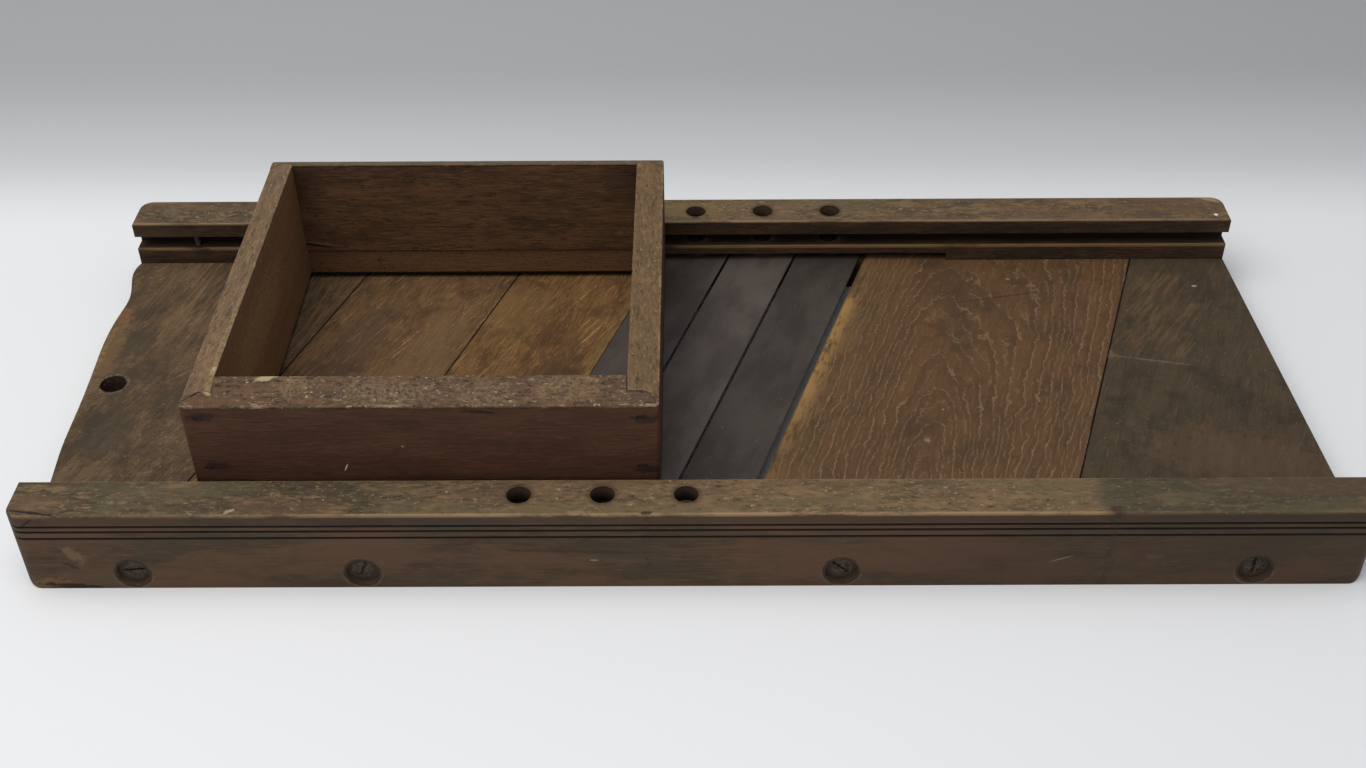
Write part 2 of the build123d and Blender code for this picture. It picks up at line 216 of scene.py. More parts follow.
# The two side rails: straight-grained hardwood, planed, grooved inside for the hopper and
# scratched outside with three fine reeds. Their tops went dull, grey and speckled with handling.
mm = 0.001
rail_inside = 121.5 * mm
rail_outside = 148.5 * mm
rail_top = 50.8 * mm
lip_bottom = 41.0 * mm
groove_back = 131.9 * mm
ledge_top = 32.0 * mm
bed_top = 20.9 * mm
knife_count = 3
driver_hole_radius = 6.35 * mm
reed_heights = (43.4 * mm, 39.9 * mm, 35.4 * mm)
reed_half_width = 0.55 * mm
screw_height = 10.7 * mm
screw_hole_radius = 8.5 * mm
screw_hole_floor = 140 * mm
screw_places = {
    "front_rail": (-286.4, -167.6, 79.5, 292.6),
    "back_rail": (300.0, 167.6, -79.5, -292.6),
}
face_brown = ((0.050, 0.029, 0.015), (0.088, 0.052, 0.027))
face_red = (0.102, 0.052, 0.028)
face_olive = (0.048, 0.037, 0.022)
face_band = (0.038, 0.026, 0.017)
face_dull_end = (0.040, 0.025, 0.015)
groove_brown = ((0.026, 0.014, 0.007), (0.060, 0.033, 0.016))
ledge_tan = (0.19, 0.108, 0.047)
top_brown = (0.157, 0.099, 0.051)
top_grey = (0.064, 0.048, 0.027)
top_red = (0.118, 0.066, 0.037)
top_olive = (0.110, 0.087, 0.045)
top_right_end = (0.060, 0.050, 0.032)
lip_tan = (0.25, 0.165, 0.090)
outer_edge_wear_and_highlight = (0.29, 0.185, 0.095)
hole_shade_brown = (0.045, 0.028, 0.016)
counterbore_shade_brown = (0.036, 0.024, 0.016)
torn_tan = (0.15, 0.10, 0.06)
chip_tan = (0.155, 0.095, 0.050)
chip_orange = (0.17, 0.085, 0.032)
chip_brown = (0.12, 0.08, 0.05)
top_chip = (0.24, 0.15, 0.08)
top_ochre = (0.20, 0.14, 0.055)
end_grey = (0.14, 0.115, 0.075)
end_tan = (0.30, 0.22, 0.12)
white_fleck = (0.75, 0.70, 0.60)
pale_fibre = (0.34, 0.245, 0.145)
dark_dirt = (0.036, 0.023, 0.013)
# Black: real soot and dirt in some marks, painted shade in others.
soot_and_shade = (0.007, 0.005, 0.004)


def distance(a, b):
    """How far off a line is whose two cross distances are a and b."""
    total = a * a + b * b
    return total.maths("SQRT")


def along(place, turn, stretch, middle=(0, 0, 0)):
    """Coordinates drawn out along the grain. The turn is the grain's angle from X."""
    ends = {"Vector": place, "Location": middle, "Rotation": (0, 0, turn), "Scale": (stretch, 1, 1)}
    return place.node("Mapping", {"vector_type": "TEXTURE"}, ends)


def cloud(place, size, detail=4.0, roughness=0.6):
    """Random patches about as large as the size."""
    ends = {"Vector": place, "Scale": 1 / size, "Detail": detail, "Roughness": roughness}
    return place.node("TexNoise", {}, ends)


def spot(a, b, middle, size, turn=0.0, fray=None):
    """1 on an oval spot of a surface. Middle and half sizes are in millimetres, the turn in degrees."""
    c, s = math.cos(math.radians(turn)), math.sin(math.radians(turn))
    right, up = a - middle[0] * mm, b - middle[1] * mm
    length = (right * c + up * s) / (size[0] * mm)
    width = (up * c - right * s) / (size[1] * mm)
    far = distance(length, width)
    if fray:
        far = far + (fray - 0.5) * 3.0
    return far.fade(1.3, 0.7)


def marked(colour, a, b, mask, fray, marks):
    """A colour with spots on it. Each mark has its colour, middle, half sizes, turn and strength."""
    for shade, middle, size, turn, strength in marks:
        colour = tint(colour, shade, spot(a, b, middle, size, turn, fray) * mask * strength)
    return colour


def wood(place, turn, tones, middle=(0, 0, 0), flecking=0.5):
    """Old oiled wood: bands, streaks and fine hairs along the grain. Returns colour and relief."""
    dark, light = tones
    streaks = cloud(along(place, turn, 11, middle), 1.7 * mm, 5, 0.68)
    bands = cloud(along(place, turn, 5, middle), 13 * mm, 6, 0.72)
    hairs = cloud(along(place, turn, 7, middle), 1.2 * mm, 2, 0.6)
    colour = tint(dark, light, (streaks * 0.4 + bands * 0.6).fade(0.38, 0.62))
    colour = tint(colour, [0.5 * value for value in dark], hairs.fade(0.58, 0.68) * flecking)
    colour = tint(colour, [1.6 * value for value in light], hairs.fade(0.41, 0.32) * flecking)
    return colour, streaks * 0.5 - hairs * 0.5


def worn_wood(place, turn, brown, grey, greyness, middle=(0, 0, 0), strength=1.0):
    """Bare handled wood: grey and brown patches, pits and flecks. Returns colour and relief."""
    patches = cloud(along(place, turn, 3, middle), 8 * mm, 6, 0.72)
    pits = cloud(along(place, turn, 3, middle), 1.9 * mm, 6, 0.82)
    flecks = cloud(along(place, turn, 1.8, middle), 1.9 * mm, 4, 0.75)
    colour = tint(brown, grey, (patches - 0.5) * 4.0 + greyness)
    colour = tint(colour, [1.25 * value for value in brown], patches.fade(0.48, 0.36) * 0.7)
    colour = tint(colour, [0.34 * value for value in grey], pits.fade(0.475, 0.38) * (0.75 * strength))
    colour = tint(colour, [1.6 * value for value in brown], pits.fade(0.545, 0.63) * (0.7 * strength))
    pale = flecks.fade(0.585, 0.65) * patches.fade(0.40, 0.56)
    colour = tint(colour, pale_fibre, (pale * (0.85 * strength)).least(1.0))
    return colour, pits * 0.6 + flecks * 0.4


def ease_edges(piece, width, steps=2):
    """Takes the sharpness off a piece's edges, as years of hands and sliding do."""
    weld = piece.modifiers.new("weld", "WELD")
    weld.merge_threshold = 0.002 * mm
    flat = piece.modifiers.new("flat", "DECIMATE")
    flat.decimate_type = "DISSOLVE"
    flat.angle_limit = math.radians(0.5)
    ease = piece.modifiers.new("ease", "BEVEL")
    ease.width = width
    ease.segments = steps
    ease.limit_method = "ANGLE"
    ease.angle_limit = math.radians(62)
    ease.harden_normals = True


def rail_wood(side):
    """The finish of one rail up to its own marks. Depths are counted outwards from the bed's middle."""
    material, place = bare_material(("back" if side > 0 else "front") + "_rail_wood")
    x, y, z = axes(place)
    out = y * side
    start = (0.3 * side, 0.1, 0)
    colour, relief = wood(place, 0, face_brown, start, 0.35)
    warm = cloud(along(place, 0, 3), 26 * mm, 4, 0.6)
    face = out.fade(rail_outside - 1.6 * mm, rail_outside - 0.3 * mm)
    above_reeds = z.fade(reed_heights[0] + 0.6 * mm, reed_heights[0] + 2.1 * mm)
    colour = tint(colour, face_red, face * warm.fade(0.47, 0.60) * 0.7)
    colour = tint(colour, face_olive, face * warm.fade(0.46, 0.38) * 0.6)
    colour = tint(colour, face_band, face * above_reeds * 0.45)
    colour = tint(colour, face_dull_end, face * x.fade(0.04, 0.20) * 0.38)
    inner_wood, _ = wood(place, 0, groove_brown, (0.2, 0.4 * side, 0))
    colour = tint(colour, inner_wood, out.fade(rail_outside - 3 * mm, rail_outside - 5 * mm))

    top = z.fade(rail_top - 1.1 * mm, rail_top - 0.5 * mm)
    if side < 0:
        greyness = x.fade(-0.04, -0.19).most(x.fade(0.207, 0.215)) * 0.85 + 0.12
    else:
        greyness = x.fade(0.02, 0.16) * 0.3 + x.fade(-0.20, -0.31) * 0.5 + 0.2
    surface, surface_relief = worn_wood(place, 0, top_brown, top_grey, greyness, start)
    drift = cloud(along(place, 0, 4, (0.6, 0, 0)), 22 * mm, 4, 0.6)
    surface = tint(surface, top_red, drift.fade(0.50, 0.60) * 0.5)
    surface = tint(surface, top_olive, drift.fade(0.46, 0.37) * 0.5)
    colour = tint(colour, surface, top)

    rub = cloud(along(place, 0, 4), 12 * mm, 5, 0.72)
    outer_edge = distance(out - rail_outside, z - rail_top)
    lip_edge = distance(out - rail_inside, z - rail_top)
    ledge_edge = distance(out - rail_inside, z - ledge_top)
    # The tan line along the top outer edge is partly wear and partly a painted highlight.
    edge_line_strength = x.fade(-0.30, -0.04) * x.fade(0.222, 0.205) * 0.6 + 0.25
    outer_rub_and_highlight = outer_edge.fade(1.9 * mm, 0.9 * mm) * rub.fade(0.38, 0.56) * edge_line_strength
    lip_rub = lip_edge.fade(1.6 * mm, 0.6 * mm) * rub.fade(0.38, 0.55) * 0.8
    ledge_rub = ledge_edge.fade(1.9 * mm, 1.0 * mm) * rub.fade(0.30, 0.48) * 0.9
    # The inside of the groove is painted black as shade.
    groove = z.between(ledge_top + 0.2 * mm, lip_bottom + 0.2 * mm, 0.3 * mm)
    groove = groove * out.fade(rail_inside + 0.6 * mm, rail_inside + 1.6 * mm)
    groove = groove * out.fade(groove_back + 0.5 * mm, groove_back)
    # A dark band on the rail's inner face, at the top of the bed, is painted shade where the boards
    # meet it.
    bed_line_shade = out.fade(rail_inside + 1.5 * mm, rail_inside)
    bed_line_shade = bed_line_shade * z.fade(bed_top + 0.9 * mm, bed_top + 0.2 * mm)
    bed_line_shade = bed_line_shade * z.fade(bed_top - 2 * mm, bed_top - 1 * mm)
    colour = tint(colour, outer_edge_wear_and_highlight, outer_rub_and_highlight)
    colour = tint(colour, lip_tan, lip_rub)
    colour = tint(colour, soot_and_shade, groove * 0.9)
    colour = tint(colour, ledge_tan, ledge_rub)
    colour = tint(colour, soot_and_shade, bed_line_shade * 0.8)
    # The three reed cuts are painted black as shade.
    for height in reed_heights:
        cut = abs(z - height).fade(reed_half_width + 0.45 * mm, reed_half_width)
        cut = cut * out.fade(rail_outside - 2 * mm, rail_outside - 1.3 * mm)
        colour = tint(colour, soot_and_shade, cut * 0.9)
    relief = relief * (1 - top) + surface_relief * top
    return material, place, colour, relief, (x, y, z, out, face, top, rub)


for side, node in ((-1, "front_rail"), (1, "back_rail")):
    material, place, colour, relief, (x, y, z, out, face, top, rub) = rail_wood(side)
    rings = []
    for index in range(knife_count):
        low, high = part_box(f"blade_{index + 1}_{'back' if side > 0 else 'front'}_screw")
        middle = (low + high) / 2
        rings.append(distance(x - middle.x, y - middle.y))
    holes = reduce(Wire.least, rings)
    colour = tint(colour, dark_dirt, holes.fade(9.5 * mm, 6.9 * mm) * (rub * 0.8 + 0.1))
    rings = [distance(x - head_x * mm, z - screw_height) for head_x in screw_places[node]]
    torn = reduce(Wire.least, rings) + (cloud(place, 3 * mm, 4, 0.7) - 0.5) * (3.2 * mm)
    # The floor of each screw hole is painted darker, and a thin black ring round its mouth, both as
    # shade.
    sunk = torn.fade(screw_hole_radius + 1.7 * mm, screw_hole_radius + 0.3 * mm)
    sunk = sunk * out.fade(screw_hole_floor - 2 * mm, screw_hole_floor)
    shade_rim = torn.between(screw_hole_radius + 0.4 * mm, screw_hole_radius + 0.9 * mm, 0.5 * mm)
    pale_rim = torn.between(screw_hole_radius + 1.9 * mm, screw_hole_radius + 2.3 * mm, 0.6 * mm)
    pale_rim = pale_rim * z.fade(screw_height + 1.3 * mm, screw_height - 3.7 * mm)
    colour = tint(colour, counterbore_shade_brown, sunk * 0.6)
    colour = tint(colour, soot_and_shade, shade_rim * face * 0.6)
    colour = tint(colour, torn_tan, pale_rim * face * 0.35)
    # The driver holes are painted darker inside and black further down, as shade.
    in_hole = holes.fade(driver_hole_radius + 0.3 * mm, driver_hole_radius - 0.1 * mm)
    colour = tint(colour, hole_shade_brown, in_hole)
    colour = tint(colour, soot_and_shade, in_hole * z.fade(rail_top - 2.8 * mm, rail_top - 10.8 * mm))
    fray = cloud(place, 3 * mm, 4, 0.7)
    if side < 0:
        colour = tint(colour, top_right_end, top * x.fade(0.205, 0.216) * 0.45)
        colour = marked(colour, x, z, face, fray, (
            (chip_tan, (-313.5, 24), (6.5, 3.0), -48, 0.75),
            (dark_dirt, (-316.5, 16), (4.5, 1.2), -32, 0.85),
            (chip_orange, (-331, 4), (10, 3.5), 0, 0.7),
            (soot_and_shade, (-318, 1.5), (17, 1.6), -6, 0.85),
            (dark_dirt, (-58, 25.5), (38, 1.4), -2, 0.6),
            (pale_fibre, (-48, 19), (2.0, 0.7), 0, 0.6),
            (chip_brown, (240, 20), (5, 1.4), 0, 0.35),
            (soot_and_shade, (-333, 46), (4.2, 0.7), 40, 0.7),
        ))
        colour = marked(colour, x, z, face, None, ((pale_fibre, (192, 19), (6.0, 0.4), 21, 0.4),))
        colour = marked(colour, x, y, top, fray, (
            (soot_and_shade, (-330, -145.6), (12.5, 0.75), -9, 0.85),
            (pale_fibre, (-230, -145), (2.6, 1.2), 25, 0.85),
            (top_chip, (-55, -147), (5, 1.8), 0, 0.8),
        ))
        colour = marked(colour, x, y, 1, fray, (
            (soot_and_shade, (-20, -147), (3.2, 1.1), 0, 0.8),
            (dark_dirt, (216, -146), (3.5, 2.6), 0, 0.7),
        ))
    else:
        colour = marked(colour, x, y, top, fray, (
            (end_grey, (-329, 136), (6, 3.5), 0, 0.5),
            (top_ochre, (-4, 135), (28, 9), 0, 0.5),
        ))
        colour = marked(colour, x, y, top, None, ((white_fleck, (335.5, 127), (1.3, 1.2), 0, 1),))
        colour = marked(colour, x, y, 1, fray, ((end_tan, (335, 146), (7, 2.4), -30, 0.8),))
    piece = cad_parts[node]
    coat(piece, material, colour, 0.72 + relief * 0.1, 0.22, relief, 0.5 * mm)
    ease_edges(piece, 0.8 * mm)

# The slotted iron screws, sunk in wide holes through the rails into the board ends,
# and the iron pin across the back rail's groove. All are black with age.
iron_dark = (0.018, 0.013, 0.010)
iron_rust = (0.088, 0.060, 0.042)
rubbed_rust = (0.18, 0.14, 0.10)


def old_iron(node, size, rusty, bare, shade, rough, depth, metal):
    """Iron gone black: rust in patches of a size, and small places rubbed to a paler shade."""
    material, place = bare_material(node + "_iron")
    rust = cloud(place, size, 5, 0.75)
    colour = tint(iron_dark, iron_rust, rust.fade(*rusty))
    colour = tint(colour, shade, rust.fade(*bare) * 0.5)
    coat(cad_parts[node], material, colour, rough + rust * 0.3, 0.4, rust, depth, metal)


for node in ("front_rail_screws", "back_rail_screws", "groove_stop_pin"):
    old_iron(node, 2.2 * mm, (0.42, 0.58), (0.64, 0.70), rubbed_rust, 0.55, 0.4 * mm, 0.25)

# The bed boards: tongued boards of the same wood, laid on the slant so that their joints
# run with the knives. Cabbage, salt and knives left them stained and scratched along the grain.
bed_slant = math.radians(18.9)
bed_turn = math.pi / 2 - bed_slant
scratch_turn = bed_turn - 0.21
nick_turn = bed_turn - 0.55
bed_joints = (-239.9 * mm, -143.0 * mm, 243.1 * mm)
board_tones = {
    "left_end_board": ((0.060, 0.036, 0.018), (0.118, 0.071, 0.035)),
    "left_middle_board": ((0.080, 0.042, 0.018), (0.146, 0.080, 0.034)),
    "left_inner_board": ((0.092, 0.045, 0.016), (0.178, 0.094, 0.032)),
    "right_inner_board": ((0.081, 0.041, 0.018), (0.115, 0.057, 0.022)),
    "right_end_board": ((0.045, 0.030, 0.016), (0.070, 0.047, 0.026)),
}


def slanted(x, y):
    """Where the slanted line through a place crosses the middle of the bed."""
    return x - y * math.tan(bed_slant)


def board_wood(node, middle, scratching=1.0, flecking=0.5):
    """The slanted grain of one board, stained, with pale scratches on it and dirt in its joints."""
    dark, light = board_tones[node]
    damp = (0.62 * dark[0], 0.66 * dark[1], 0.75 * dark[2])
    scraped = [min(1.0, 2.2 * value + 0.03) for value in light]
    material, place = bare_material(node + "_wood")
    x, y, _ = axes(place)
    colour, relief = wood(place, bed_turn, (dark, light), middle, flecking)
    stains = cloud(place, 26 * mm, 6, 0.70)
    colour = tint(colour, damp, stains.fade(0.50, 0.66) * 0.6)
    scratches = cloud(along(place, scratch_turn, 26, middle), 1.3 * mm, 3, 0.65)
    nicks = cloud(along(place, nick_turn, 9, middle), 1.2 * mm, 3, 0.65)
    lines = (scratches.fade(0.585, 0.66) * 0.9).most(nicks.fade(0.63, 0.70) * 0.8)
    lines = lines * stains.fade(0.60, 0.42) * scratching
    colour = tint(colour, scraped, lines * 0.75)
    dots = cloud(place, 1.9 * mm, 3, 0.6).fade(0.67, 0.72)
    colour = tint(colour, pale_fibre, dots * 0.6)
    for joint in bed_joints:
        dirt = abs(slanted(x, y) - joint).fade(0.85 * mm, 0.45 * mm)
        colour = tint(colour, soot_and_shade, dirt * 0.85)
    return material, place, colour, relief - lines * 0.4


# The board at the left end: weathered more than the others, with a wavy worn end and a hole
# to hang the shredder by. Its back corner is warm brown and its end is rubbed to ochre.
hang_hole = (-334.5 * mm, -3.6 * mm)
weathered_olive = (0.043, 0.034, 0.021)
weathered_tan = (0.150, 0.100, 0.056)
short_scratch = (0.21, 0.145, 0.085)
fine_dirt = (0.034, 0.025, 0.016)
corner_brown = (0.155, 0.088, 0.042)
corner_tan = (0.21, 0.135, 0.075)
end_stain = (0.042, 0.033, 0.022)
end_red = (0.17, 0.078, 0.034)
end_brown = (0.17, 0.095, 0.042)
end_ochre = (0.20, 0.125, 0.050)
hole_rub = (0.20, 0.145, 0.095)
hang_hole_shade = (0.024, 0.012, 0.008)

material, place, colour, relief = board_wood("left_end_board", (-0.31, 0.02, 0.01), 0.35, 0.3)
x, y, _ = axes(place)
fray = cloud(place, 5 * mm, 6, 0.75)
fine = cloud(place, 1.8 * mm, 4, 0.7)
mottle = cloud(along(place, bed_turn - 0.1, 1.7), 14 * mm, 7, 0.82)
short = cloud(along(place, bed_turn - 0.5, 4), 1.4 * mm, 3, 0.7)
streaky = cloud(along(place, bed_turn + 0.10, 12), 2.4 * mm, 5, 0.7)
colour = tint(colour, weathered_olive, mottle.fade(0.49, 0.60) * 0.6)
colour = tint(colour, weathered_tan, mottle.fade(0.49, 0.38) * 0.5)
colour = tint(colour, short_scratch, short.fade(0.59, 0.65) * mottle.fade(0.58, 0.44) * 0.75)
colour = tint(colour, fine_dirt, fine.fade(0.42, 0.34) * 0.6)
scuffed = spot(x, y, (-300, -58), (26, 22), 0, fray) * fine.fade(0.63, 0.69)
colour = tint(colour, pale_fibre, scuffed * 0.8)
back_corner = y.fade(0.000, 0.060) * x.fade(-0.348, -0.31)
colour = tint(colour, corner_brown, back_corner * streaky.fade(0.46, 0.60) * 0.7)
colour = tint(colour, corner_tan, back_corner * streaky.fade(0.60, 0.68) * 0.7)
colour = marked(colour, x, y, 1, fray, (
    (end_stain, (-331, 34), (9, 17), -12, 0.55),
    (end_stain, (-333, 2), (13, 12), 0, 0.55),
    (end_stain, (-326, -45), (13, 26), 0, 0.55),
    (end_red, (-346.5, 64), (5, 9), -8, fine * 1.2),
    (end_brown, (-345, 30), (6, 34), 0, 0.5),
    (end_ochre, (-349.0, 26), (2.0, 26), 0, fine.fade(0.40, 0.56) * 0.8),
))
hole = distance(x - hang_hole[0], y - hang_hole[1]) + (fray - 0.5) * (3.0 * mm)
colour = tint(colour, hole_rub, hole.fade(10.5 * mm, 8.6 * mm) * fine.fade(0.46, 0.58) * 0.6)
# The inside of the hang hole is painted near black as shade.
colour = tint(colour, hang_hole_shade, hole.fade(8.2 * mm, 7.5 * mm) * 0.95)
coat(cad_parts["left_end_board"], material, colour, 0.72, 0.22, relief, 0.5 * mm)
ease_edges(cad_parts["left_end_board"], 1.2 * mm, 3)

# The next two boards, under the hopper. They are the brownest and the most scratched, and the
# second one is rubbed to ochre along the first knife.
first_knife_edge = -58.3 * mm
knife_ochre = (0.20, 0.130, 0.05)
middle_stain = (0.070, 0.042, 0.030)
middle_tan = (0.150, 0.092, 0.042)
inner_stain = (0.050, 0.026, 0.014)
inner_tan = (0.165, 0.096, 0.036)

for node, middle, stains in (
    ("left_middle_board", (-0.19, 0.05, 0.01), (
        (middle_stain, (-205, 20), (14, 60), -19, 0.4),
        (middle_tan, (-160, 5), (18, 60), -19, 0.4),
    )),
    ("left_inner_board", (-0.1, -0.03, 0.01), (
        (inner_stain, (-78, 2), (13, 30), -19, 0.6),
        (inner_tan, (-105, 70), (22, 24), -19, 0.45),
    )),
):
    material, place, colour, relief = board_wood(node, middle, 1.0, 0.6)
    x, y, _ = axes(place)
    fray = cloud(along(place, bed_turn, 2), 7 * mm, 6, 0.75)
    colour = marked(colour, x, y, 1, fray, stains)
    if node == "left_inner_board":
        beside_knife = (slanted(x, y) - first_knife_edge).fade(-9 * mm, -2 * mm)
        colour = tint(colour, knife_ochre, beside_knife * fray.fade(0.42, 0.58) * 0.6)
    coat(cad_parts[node], material, colour, 0.72, 0.22, relief, 0.4 * mm)
    ease_edges(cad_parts[node], 0.4 * mm)

# The board past the last knife is slash-sawn: its rings are cut as nested cones, so they show
# as pale arches. Its edge at the throat is rubbed down to bright ochre by all that was cut over it.
arch_turn = math.radians(90 - 12)
arch_middle = (134 * mm, -60 * mm, 0)
ring_spacing = 5.8 * mm
heart_depth = 7.5 * mm
heart_slope = 0.19
left_lean = 0.05
right_lean = 0.17
throat_edge = 71.75 * mm
ring_line = (0.255, 0.168, 0.084)
late_wood = (0.062, 0.034, 0.016)
throat_tan = (0.145, 0.090, 0.038)
throat_ochre = (0.33, 0.185, 0.058)
front_tan = (0.20, 0.125, 0.060)
pale_speck = (0.32, 0.235, 0.135)

material, place, colour, relief = board_wood("right_inner_board", (0.15, 0.0, 0.01), 0.15, 0.25)
x, y, _ = axes(place)
run, across, _ = axes(along(place, arch_turn, 1, arch_middle))
lean = across.fade(0, 60 * mm) * left_lean + across.fade(0, -65 * mm) * right_lean
leaning = across + run * lean
radius = distance(leaning, (run * heart_slope + heart_depth).most(2 * mm))
waves = cloud(along(place, arch_turn, 1.5), 28 * mm, 2, 0.5) - 0.5
ripples = cloud(along(place, arch_turn, 1.3), 7 * mm, 4, 0.65) - 0.5
teeth = cloud(place, 2.4 * mm, 3, 0.6) - 0.5
rings = radius + waves * (9 * mm) + ripples * (5 * mm) + teeth * (2.2 * mm)
year = (rings / ring_spacing).maths("FRACT")
half_year = (rings / ring_spacing + 0.45).maths("FRACT")
steep = abs(leaning) / radius
crisp = ((1 - year) / (steep * 0.15 + 0.05)).fade(1.0, 0.5)
faint = ((1 - half_year) / (steep * 0.16 + 0.05)).fade(1.0, 0.5)
strength = cloud(place, 18 * mm, 5, 0.7)
colour = tint(colour, late_wood, year.fade(0.30, 0.95) * 0.45)
colour = tint(colour, ring_line, crisp * (strength.fade(0.32, 0.60) * 0.46 + 0.06))
colour = tint(colour, ring_line, faint * strength.fade(0.54, 0.42) * 0.3)
fray = cloud(along(place, bed_turn, 3), 6 * mm, 6, 0.75)
throat = slanted(x, y) - throat_edge
well_back = y.fade(-0.095, 0.010) * y.fade(0.090, 0.072)
rubbed = throat.fade(13 * mm, 1 * mm) * fray.fade(0.36, 0.56) * (well_back * 0.8 + 0.1)
colour = tint(colour, throat_tan, throat.fade(42 * mm, 6 * mm) * fray.fade(0.38, 0.60) * 0.5)
colour = tint(colour, throat_ochre, rubbed)
colour = tint(colour, front_tan, y.fade(-0.070, -0.118) * fray.fade(0.40, 0.6) * 0.4)
colour = marked(colour, x, y, 1, fray, (
    (pale_speck, (203, 99.6), (1.2, 1.0), 0, 0.5),
    (pale_speck, (134, -57), (1.6, 1.6), 0, 0.5),
    (pale_speck, (146, -30), (0.5, 0.8), 0, 0.5),
    (soot_and_shade, (194, 80), (26, 0.6), 12, 0.5),
))
coat(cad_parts["right_inner_board"], material, colour, 0.68, 0.25, relief + crisp * 0.3, 0.4 * mm)
ease_edges(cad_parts["right_inner_board"], 0.4 * mm)

# The board at the right end: the darkest, gone dull olive brown, with a warmer patch towards
# the back and a few pale scratches and specks.
dull_olive = (0.044, 0.036, 0.023)
warm_brown = (0.125, 0.076, 0.038)
front_brown = (0.105, 0.066, 0.038)
scratch_tan = (0.16, 0.12, 0.08)
smudge_tan = (0.12, 0.09, 0.06)
pale_dot = (0.38, 0.32, 0.24)

material, place, colour, relief = board_wood("right_end_board", (0.3, 0.0, 0.01), 0.3, 0.25)
x, y, _ = axes(place)
fray = cloud(place, 6 * mm, 5, 0.72)
mottle = cloud(place, 15 * mm, 6, 0.75)
streaky = cloud(along(place, bed_turn - 0.3, 9), 2.2 * mm, 5, 0.7)
warm = spot(x, y, (292, 62), (24, 46), -20, cloud(place, 24 * mm, 5, 0.7))
colour = tint(colour, dull_olive, mottle.fade(0.50, 0.64) * 0.6)
colour = tint(colour, warm_brown, warm * streaky.fade(0.44, 0.62) * 0.7)
colour = marked(colour, x, y, 1, fray, (
    (front_brown, (300, -70), (50, 22), -15, 0.4),
    (scratch_tan, (275, 15), (25, 0.6), -12, 0.6),
    (smudge_tan, (250, 22), (4, 5), 0, 0.6),
))
colour = marked(colour, x, y, 1, None, ((pale_dot, (318.4, 91), (1.6, 1.0), 0, 0.8),))
coat(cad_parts["right_end_board"], material, colour, 0.72, 0.22, relief, 0.4 * mm)
ease_edges(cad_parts["right_end_board"], 0.8 * mm)

# The three knives: flat strips of carbon steel, side by side in slots of the rails. They are
# stained dark, finely scratched along their length, with small pale specks; their edges at the
# throats are painted black as shade.
# The first two knives are painted lighter than the third, to make up for the shadow the hopper casts on
# them.
knife_tones_with_painted_light = (
    ((0.062, 0.047, 0.040), (0.094, 0.075, 0.064)),
    ((0.069, 0.054, 0.046), (0.106, 0.086, 0.074)),
    ((0.042, 0.033, 0.026), (0.064, 0.053, 0.042)),
)
knife_scratch = (0.075, 0.066, 0.058)
knife_speck = (0.20, 0.18, 0.15)
first_knife_hopper_shadow = (0.024, 0.020, 0.018)
knife_pitch = 42.6 * mm
knife_field = -58.05 * mm

for index in range(knife_count):
    node = f"blade_{index + 1}"
    material, place = bare_material(node + "_steel")
    x, y, _ = axes(place)
    across = slanted(x, y) - (knife_field + knife_pitch * index)
    stain = cloud(along(place, bed_turn, 2.0, (0.1 * index, 0, 0)), 26 * mm, 6, 0.62)
    drawn = cloud(along(place, bed_turn, 30), 0.8 * mm, 2, 0.6)
    colour = tint(*knife_tones_with_painted_light[index], stain.fade(0.38, 0.62))
    colour = tint(colour, knife_scratch, drawn.fade(0.60, 0.74) * 0.3)
    # The first knife is painted darker towards the front with the hopper's shadow.
    if index == 0:
        colour = tint(colour, first_knife_hopper_shadow, y.fade(20 * mm, -20 * mm) * 0.65)
    # The knives' edges at the throats are painted black as shade.
    right_edge = across.fade(knife_pitch - 1.9 * mm, knife_pitch - 1.2 * mm)
    left_edge = across.fade(0.9 * mm, 0.3 * mm)
    colour = tint(colour, soot_and_shade, right_edge.most(left_edge) * 0.8)
    specks = cloud(place, 1.3 * mm, 1, 0.5).fade(0.76, 0.79)
    colour = tint(colour, knife_speck, specks * 0.8)
    relief = drawn * 0.5 + stain * 0.5
    coat(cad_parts[node], material, colour, 0.50 + stain * 0.16, 0.4, relief, 0.08 * mm, 0.3)

# The knife screws: slotted iron screws under the holes in the rails' tops, two to a knife.
# They are as black and rusty as the others.
rubbed_iron = (0.14, 0.12, 0.10)

for index in range(knife_count):
    for end in ("front", "back"):
        node = f"blade_{index + 1}_{end}_screw"
        old_iron(node, 1.8 * mm, (0.44, 0.62), (0.64, 0.72), rubbed_iron, 0.5, 0.3 * mm, 0.35)

# The hopper: a bottomless box of four boards. The front and back boards are rebated over the
# ends of the side boards and nailed, and carry the runners that slide in the rails' grooves.
# The rim is worn to bare speckled wood, and the faces are dark.
hopper_half = 118.9 * mm
hopper_left = -253.5 * mm
hopper_right = -13.5 * mm
hopper_wall = 16 * mm
hopper_bottom = 24.5 * mm
rim_height = 104 * mm
rim_drop = 7 * mm
runner_top = 42.5 * mm
rebate_x = -29.5 * mm
rebate_y = -110.9 * mm
inner_corners = (-237.5 * mm, -29.5 * mm)
front_nail_places = ((-242.8, 90.9), (-240.3, 58.2), (-20.6, 88.5), (-20.3, 55.2))
hopper_outside = ((0.044, 0.018, 0.009), (0.072, 0.030, 0.014))
hopper_inside = ((0.060, 0.030, 0.014), (0.124, 0.062, 0.028))
rim_brown = (0.170, 0.103, 0.055)
rim_grey = (0.105, 0.078, 0.052)
rim_inner_tan = (0.31, 0.22, 0.115)
scuffed_tan = (0.225, 0.158, 0.088)
bright_scratch = (0.55, 0.48, 0.38)
bright_dot = (0.34, 0.25, 0.17)
crack_edge = (0.33, 0.235, 0.125)
